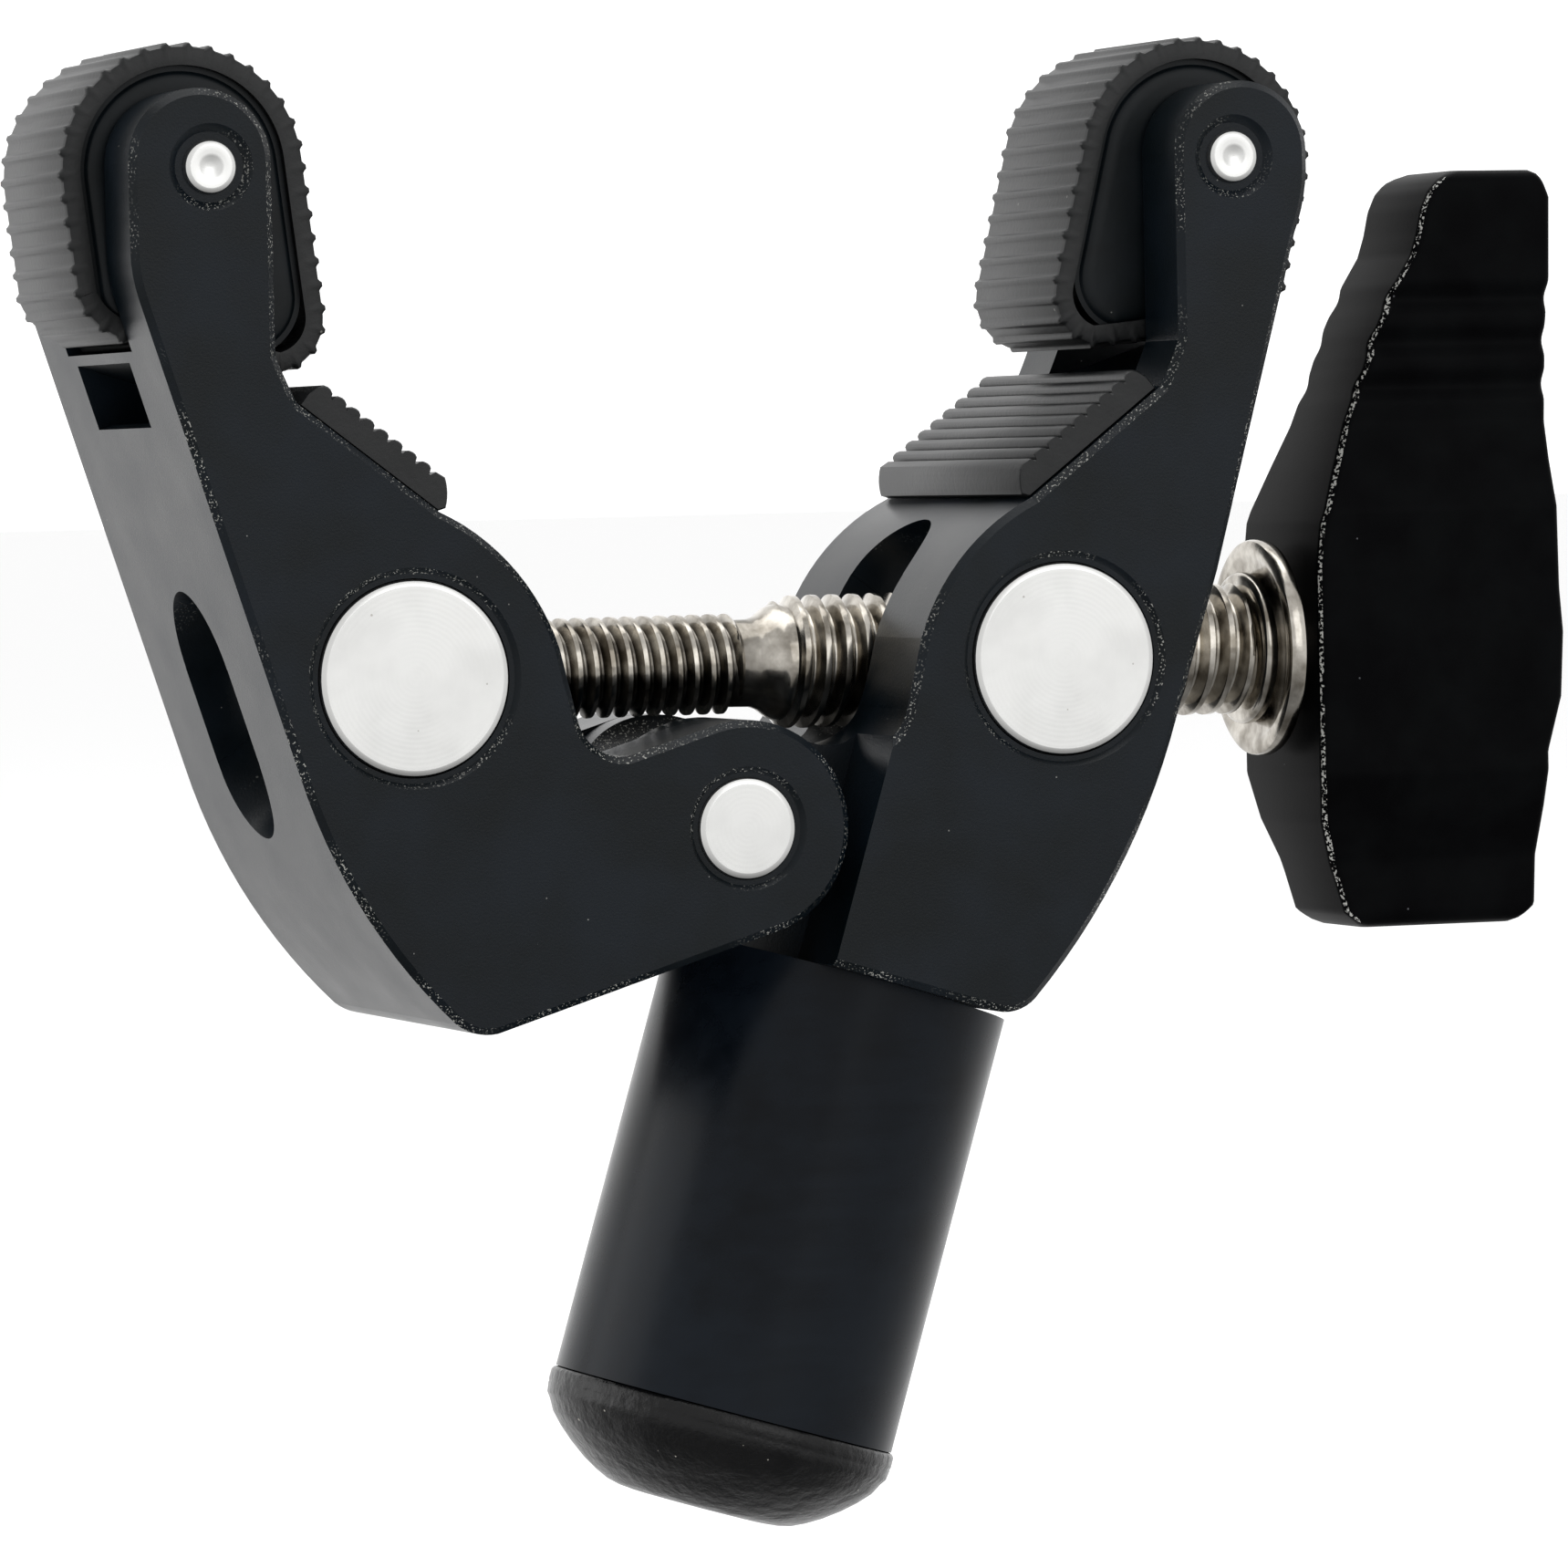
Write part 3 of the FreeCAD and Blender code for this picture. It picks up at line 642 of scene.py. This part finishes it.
flangeSizes = {
    "round": 0.28, "dish": 0.18, "dishRadius": 5.4, "dishSlope": 0.35, "dishLip": 0.2, "lipDrop": 0.03,
    "bend": 0.3, "boreRadius": 3.9, "steps": 96,
}


def makeFlange():
    f = flangeSizes
    low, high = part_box("thrust_washer")
    thick = (high.x - low.x) / mm
    radius = (high.z - low.z) / 2 / mm
    soft, dish, bore, bowl = f["round"], f["dish"], f["boreRadius"], f["dishRadius"]
    bend = soft * f["bend"]
    profile = [(dish, bore), (dish, bowl - f["dishSlope"]), (f["lipDrop"], bowl), (0, bowl + f["dishLip"]),
               (0, radius - soft), (bend, radius - bend), (soft, radius),
               (thick - soft, radius), (thick - bend, radius - bend), (thick, radius - soft), (thick, bore)]
    shape = bmesh.new()
    angles = [2 * math.pi * i / f["steps"] for i in range(f["steps"])]
    rings = [[(along, size * math.cos(a), size * math.sin(a)) for a in angles] for along, size in profile]
    addRings(shape, rings, closed=True)
    place = Matrix.Translation((low.x, (low.y + high.y) / 2, (low.z + high.z) / 2))
    return makePiece("thrust_flange", toMesh("thrust_flange", shape), place, nickelPlate, "washer",
                     "screw_plate", "thrust_washer")


makeFlange()
print("screw and flange made")


# wing knob

knobShape = {
    # pairs of height from the screw's axis and place along the screw, or half the wing's thickness
    "near": [(-16.5, 3.27), (-15.6, 2.17), (-13.4, 1.5), (-10.2, 0.41), (-7.5, 0.0), (-2.7, 0.02),
             (4.7, 0.02), (7.3, 0.3), (10.5, 1.53), (14.2, 3.03), (16.3, 3.93), (18.1, 4.53), (20.0, 5.43),
             (21.0, 5.88), (22.9, 7.08), (24.2, 7.5), (25.6, 7.8), (26.6, 8.25), (27.3, 8.9), (27.8, 9.8)],
    "far": [(-16.5, 13.3), (-15.5, 14.35), (-9.6, 14.6), (-6.4, 14.6), (-3.2, 15.5), (0.6, 15.7),
            (3.2, 15.5), (10.7, 15.4), (18.7, 15.65), (21.4, 15.95), (26.2, 16.05), (27.8, 15.4)],
    "halfThick": [(-16.5, 4.1), (-12.6, 4.1), (-7.5, 6.0), (8.0, 6.0), (13.0, 4.35), (27.8, 4.35)],
    "flutes": [15.2, 17.75, 20.3], "fluteWidth": 2.1, "fluteDepth": 0.45,
    "edge": 0.55, "endRound": 0.9, "endPull": 0.3, "rows": 190, "edgeSteps": 5, "sharp": 40,
}


def makeKnob():
    k = knobShape
    low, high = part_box("wing_knob")
    bottom, top = k["near"][0][0], k["near"][-1][0]
    shape = bmesh.new()
    rings = []
    for row in range(k["rows"] + 1):
        z = bottom + (top - bottom) * row / k["rows"]
        thick = between(z, k["halfThick"])
        for flute in k["flutes"]:
            away = abs(z - flute) / (k["fluteWidth"] / 2)
            if away < 1:
                thick -= k["fluteDepth"] * (0.5 + 0.5 * math.cos(math.pi * away))
        # the ends roll over
        shrink = 0.0
        for gap in (z - bottom, top - z):
            if gap < k["endRound"]:
                fall = k["endRound"]**2 - (k["endRound"] - gap)**2
                shrink = max(shrink, k["endRound"] - math.sqrt(max(fall, 0)))
        near = between(z, k["near"]) + shrink * k["endPull"]
        far = between(z, k["far"]) - shrink * k["endPull"]
        thick -= shrink
        edge = k["edge"]
        ring = []
        for cx, cy, first in ((far - edge, thick - edge, 0), (near + edge, thick - edge, 90),
                              (near + edge, -thick + edge, 180), (far - edge, -thick + edge, 270)):
            for step in range(k["edgeSteps"] + 1):
                angle = math.radians(first + 90 * step / k["edgeSteps"])
                ring.append((cx + edge * math.cos(angle), cy + edge * math.sin(angle), z))
        rings.append(ring)
    addRings(shape, rings)
    place = Matrix.Translation((low.x, (low.y + high.y) / 2, low.z - bottom * mm))
    return makePiece("knob_wing", toMesh("knob_wing", shape, k["sharp"]), place, satinPaint, "screw",
                     "knob_plastic", "wing_knob")


makeKnob()
print("knob made")


# swivel pads: a ridged rubber tread round a smooth core

shoeShape = {
    # each outline is a half circle on top and a slanting foot with two rounded corners
    "radius": 7.15, "tail": 12.0, "foot": 9.3, "corner": 3.2, "straight": 6.2,
    "footIn": 1.0, "footDown": 8.0, "tailIn": 0.9, "tailUp": 1.0, "tailTall": 3.4,
    "roundSteps": 48, "cornerSteps": 12, "treadStep": 0.11, "coreStep": 0.4,
    "tread": 1.3, "ridgeFlat": 0.22, "ridgeFall": 0.38, "treadSharp": 50, "coreSharp": 40,
    "ridgePitch": 1.33, "ridgeWide": 0.5, "ridgeTall": 0.2, "edgeSoft": 0.16, "lip": 0.25,
    "bossInset": 0.3, "bossRound": 0.8, "grooveDeep": 0.32, "grooveSlope": 0.12,
    "leftTurn": -6.7, "rightTurn": 13.6,  # degrees
}


def shoeOutline(shrink):
    s = shoeShape
    half = s["radius"] - shrink
    tail = shrink - s["tail"]
    foot = shrink - s["foot"]
    points = [(half, 0.0)]
    points += throughArc(points[-1], (0.0, half), (-half, 0.0), s["roundSteps"])
    points.append((-half, -s["straight"]))
    points += throughArc(points[-1], (s["footIn"] - half, -s["footDown"]), (s["corner"] - half, foot),
                         s["cornerSteps"])
    points.append((half - s["corner"], tail))
    points += throughArc(points[-1], (half - s["tailIn"], tail + s["tailUp"]), (half, tail + s["tailTall"]),
                         s["cornerSteps"])
    return points


def makeTread(name, node, place, body):
    width = (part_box(node)[1].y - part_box(node)[0].y) / 2 / mm
    s = shoeShape
    outer, total = resample(shoeOutline(0.0), s["treadStep"])
    ridges = round(total / s["ridgePitch"])
    pitch = total / ridges
    rim, inside = [], []
    for (x, z), (nx, nz), walked in outer:
        away = abs((walked / pitch) % 1 - 0.5) * pitch
        rise = smoothStep(1 - (away - s["ridgeWide"] * s["ridgeFlat"]) / (s["ridgeWide"] * s["ridgeFall"]))
        sunk = s["ridgeTall"] * (1 - rise)
        rim.append((x - nx * sunk, z - nz * sunk))
        inside.append((x - nx * s["tread"], z - nz * s["tread"]))
    shape = bmesh.new()
    soft, lip = s["edgeSoft"], s["lip"]
    # from the inside wall round one edge; the other edge mirrors it
    edge = [(inside, 0, width - lip), (inside, -0.02, width - 0.05), (rim, soft * 2.2, width),
            (rim, soft * 0.5, width - soft * 0.6), (rim, 0, width - soft * 2)]
    bothEdges = [(points, drop, -y) for points, drop, y in edge] + edge[::-1]
    normals = [normal for spot, normal, walked in outer]
    rings = [[(x - nx * drop, y, z - nz * drop) for (x, z), (nx, nz) in zip(points, normals)]
             for points, drop, y in bothEdges]
    addRings(shape, rings, closed=True)
    return makePiece(name, toMesh(name, shape, s["treadSharp"]), place, nitrileRubber, body,
                     "grip_rubber", node)


def makeCore(name, node, place, body):
    width = (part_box(node)[1].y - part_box(node)[0].y) / 2 / mm
    s = shoeShape
    outer = resample(shoeOutline(s["tread"]), s["coreStep"])[0]
    deep = width - s["grooveDeep"]
    soft = s["bossRound"]
    shape = bmesh.new()
    rings = []
    foot, start = deep + s["grooveSlope"], s["bossInset"] + s["grooveSlope"]
    steps = [(0.0, deep), (s["bossInset"], deep), (start, foot)]
    steps += [(start + soft * (1 - math.cos(a)), foot + (width - foot) * math.sin(a))
              for a in (0.4, 0.8, 1.2, math.pi / 2)]
    for inset, y in [(inset, -y) for inset, y in reversed(steps)] + steps:
        rings.append([(x - nx * inset, y, z - nz * inset) for (x, z), (nx, nz), walked in outer])
    addRings(shape, rings)
    return makePiece(name, toMesh(name, shape, s["coreSharp"]), place, mouldedNylon, body,
                     "core_plastic", node)


for side, halfTurn in (("left", 0), ("right", math.pi)):
    body = f"{side}_shoe"
    lean = math.radians(shoeShape[side + "Turn"])
    turn = Matrix.Rotation(lean, 4, "Y") @ Matrix.Rotation(halfTurn, 4, "Z")
    shoePlace = Matrix.Translation(centreOf(f"{side}_pad_pin")) @ turn
    makeTread(f"{side}_shoe_tread", f"{side}_swivel_grip", shoePlace, body)
    makeCore(f"{side}_shoe_core", f"{side}_swivel_core", shoePlace, body)
print("swivel pads made")


# ribbed seat pads

seatPad = {
    "out": 17.6, "up": 18.2, "slope": 37.5, "long": 9.9, "proud": 1.85,
    "ribs": 8, "ribTall": 0.42, "nose": 1.5, "heel": 0.3, "noseSteps": 6, "sharp": 42,
    # the moulded ends draw in a little: distance from the end, then how far toward the middle
    "endSoft": 0.12, "endDraw": 0.06, "drawAlong": 0.25, "drawUp": 1.4,
    # each rib's outline: share of the pitch, then share of the rib's height
    "rib": [(0.0, 0.0), (0.1, 0.04), (0.2, 0.75), (0.36, 0.97), (0.55, 1.0), (0.8, 0.84), (0.95, 0.5)],
}


def makeSeatPad(name, node, body, half):
    p = seatPad
    width = (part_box(node)[1].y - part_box(node)[0].y) / 2 / mm
    pitch = (p["long"] - p["nose"] - p["heel"]) / p["ribs"]
    profile = [(-0.28, 0.45)]
    profile += throughArc(profile[0], (0.15, 1.22), (0.75, p["proud"] - 0.04), p["noseSteps"])
    profile.append((p["nose"] - 0.15, p["proud"] - 0.1))
    for rib in range(p["ribs"]):
        begin = p["nose"] + pitch * rib
        base = p["proud"] - p["ribTall"]
        for share, rise in p["rib"]:
            profile.append((begin + pitch * share, base + p["ribTall"] * rise))
    profile += [(p["long"] - 0.25, p["proud"] - 0.35), (p["long"] - 0.02, 0.9), (p["long"], 0.05),
                (0.0, 0.05)]
    slope = math.radians(p["slope"])
    shape = bmesh.new()
    rings = []
    middle = (p["long"] / 2, p["proud"] / 2)
    soft, draw = p["endSoft"], p["endDraw"]
    for y, inset in ((-width, draw), (-width + soft, 0.0), (width - soft, 0.0), (width, draw)):
        ring = []
        for along, up in profile:
            along += (middle[0] - along) * inset * p["drawAlong"]
            up += (middle[1] - up) * inset * p["drawUp"]
            ring.append((p["out"] + along * math.cos(slope) - up * math.sin(slope), y,
                         p["up"] + along * math.sin(slope) + up * math.cos(slope)))
        rings.append(ring)
    addRings(shape, rings)
    place = Matrix.Translation(centreOf("hinge_pin")) @ Matrix.Rotation(math.pi if half else 0, 4, "Z")
    return makePiece(name, toMesh(name, shape, p["sharp"]), place, nitrileRubber, body, "grip_rubber", node)


makeSeatPad("left_seat_ribs", "left_grip_pad", "moving_jaw", True)
makeSeatPad("right_seat_ribs", "right_grip_pad", "fixed_jaw", False)
print("seat pads made")


# bar end cap

capShape = {
    "lip": 10.2, "plug": 8.45, "plugLong": 7.0, "steps": 120, "sharp": 46,
    # the domed end: distance past the tube, then radius
    "dome": [(2.6, 9.5), (3.3, 8.85), (4.0, 8.05), (4.7, 7.1), (5.2, 6.25), (5.55, 5.5), (5.72, 4.8),
             (5.8, 4.0), (5.8, 1.6), (5.8, 0.02)],
}


def makeCap():
    c = capShape
    seam = Vector(barMount["pos_m"]) + Vector(barAxis) * (barMount["dims"]["length_mm"] / 2 * mm)
    lip = c["lip"]
    profile = [(-c["plugLong"], c["plug"] - 0.3), (-c["plugLong"] + 0.4, c["plug"]), (0.02, c["plug"]),
               (0.02, lip - 0.35), (0.1, lip - 0.12), (0.28, lip), (0.85, lip), (0.98, lip - 0.05),
               (1.06, lip - 0.03), (1.6, lip - 0.1), (1.95, lip - 0.35)]
    profile += c["dome"]
    shape = bmesh.new()
    addTurned(shape, profile, c["steps"])
    place = Matrix.Translation(seam) @ axisTurn(barAxis)
    return makePiece("end_cap_moulded", toMesh("end_cap_moulded", shape, c["sharp"]), place, mouldedVinyl,
                     "fixed_jaw", "cap_rubber", "bar_end_cap")


makeCap()
print("cap made")


# camera, light and floor

cameraSet = {
    "lens": 199.07, "sensor": 36.0, "place": (-159.775, -471.677, -9.528),
    "yaw": 19.42, "pitch": 2.12, "roll": -1.29,  # degrees
}
cameraData = bpy.data.cameras.new("camera")
cameraData.lens, cameraData.sensor_width = cameraSet["lens"], cameraSet["sensor"]
camera = bpy.data.objects.new("camera", cameraData)
camera.matrix_world = (Matrix.Translation(Vector(cameraSet["place"]) * mm)
                       @ Matrix.Rotation(math.radians(-cameraSet["yaw"]), 4, "Z")
                       @ Matrix.Rotation(math.radians(90 - cameraSet["pitch"]), 4, "X")
                       @ Matrix.Rotation(math.radians(cameraSet["roll"]), 4, "Z"))
bpy.context.scene.collection.objects.link(camera)
bpy.context.scene.camera = camera

# places and sizes of the lights are in metres
lightAim = Vector((0, 0, -0.03))
lightSets = {
    "topBox": {"place": (-0.1, 0.15, 0.9), "size": 0.9, "watts": 4.0},
    "leftBox": {"place": (-0.9, 0.25, 0.25), "size": 0.8, "watts": 2.4},
    "frontBox": {"place": (0.35, -0.95, 0.35), "size": 0.7, "watts": 1.4},
}
for name, light in lightSets.items():
    lamp = bpy.data.lights.new(name, "AREA")
    lamp.size, lamp.energy = light["size"], light["watts"]
    lampObject = bpy.data.objects.new(name, lamp)
    spot = Vector(light["place"])
    aim = lightAim - spot
    lampObject.matrix_world = Matrix.Translation(spot) @ aim.to_track_quat("-Z", "Y").to_matrix().to_4x4()
    bpy.context.scene.collection.objects.link(lampObject)

world = bpy.data.worlds.new("studio")
world.use_nodes = True
# a white tent, dimmer in front and below than behind; what the camera sees past the part is plain white
tentSet = {"front": 0.85, "back": 1.35, "lowDrop": -0.6, "lowest": -0.75, "level": -0.1}
tent = world.node_tree
tentPlace = addNode(tent, "SeparateXYZ", links={0: addNode(tent, "TexCoord").outputs["Generated"]})
tentGlow = addNode(tent, "MapRange", {"From Min": 0.0, "From Max": 1.0, "To Min": tentSet["front"],
                                      "To Max": tentSet["back"]}, {"Value": tentPlace.outputs["Y"]})
tentLow = addNode(tent, "MapRange", {"From Min": tentSet["lowest"], "From Max": tentSet["level"],
                                     "To Min": tentSet["lowDrop"], "To Max": 0.0},
                  {"Value": tentPlace.outputs["Z"]})
tentBoth = addNode(tent, "Math", {"operation": "ADD"}, {0: tentGlow.outputs[0], 1: tentLow.outputs[0]})
seenDirect = addNode(tent, "LightPath").outputs["Is Camera Ray"]
tentShade = addNode(tent, "Math", {"operation": "MAXIMUM"}, {0: tentBoth.outputs[0], 1: seenDirect})
tent.nodes["Background"].inputs["Color"].default_value = (1, 1, 1, 1)
tent.links.new(tentShade.outputs[0], tent.nodes["Background"].inputs["Strength"])
bpy.context.scene.world = world
bpy.context.scene.view_settings.view_transform = "Standard"

floorSet = {"colour": "#ffffff", "roughness": 0.9, "specular": 0.1, "size": 12, "below": 14}
floorMaterial, floorTree = newMaterial("studioFloor")
finishMaterial(floorTree, addNode(floorTree, "BsdfPrincipled", {
    "Base Color": floorSet["colour"], "Roughness": floorSet["roughness"],
    "Specular IOR Level": floorSet["specular"]}))
floorShape = bmesh.new()
bmesh.ops.create_grid(floorShape, x_segments=1, y_segments=1, size=floorSet["size"])
floorMesh = bpy.data.meshes.new("floor")
floorShape.to_mesh(floorMesh)
floorShape.free()
floorMesh.materials.append(floorMaterial)
floor = bpy.data.objects.new("floor", floorMesh)
floor.location.z = cadLow.z - floorSet["below"] * mm
floor.visible_glossy = False  # no bright floor reflected in the metal undersides
bpy.context.scene.collection.objects.link(floor)
print("studio made")
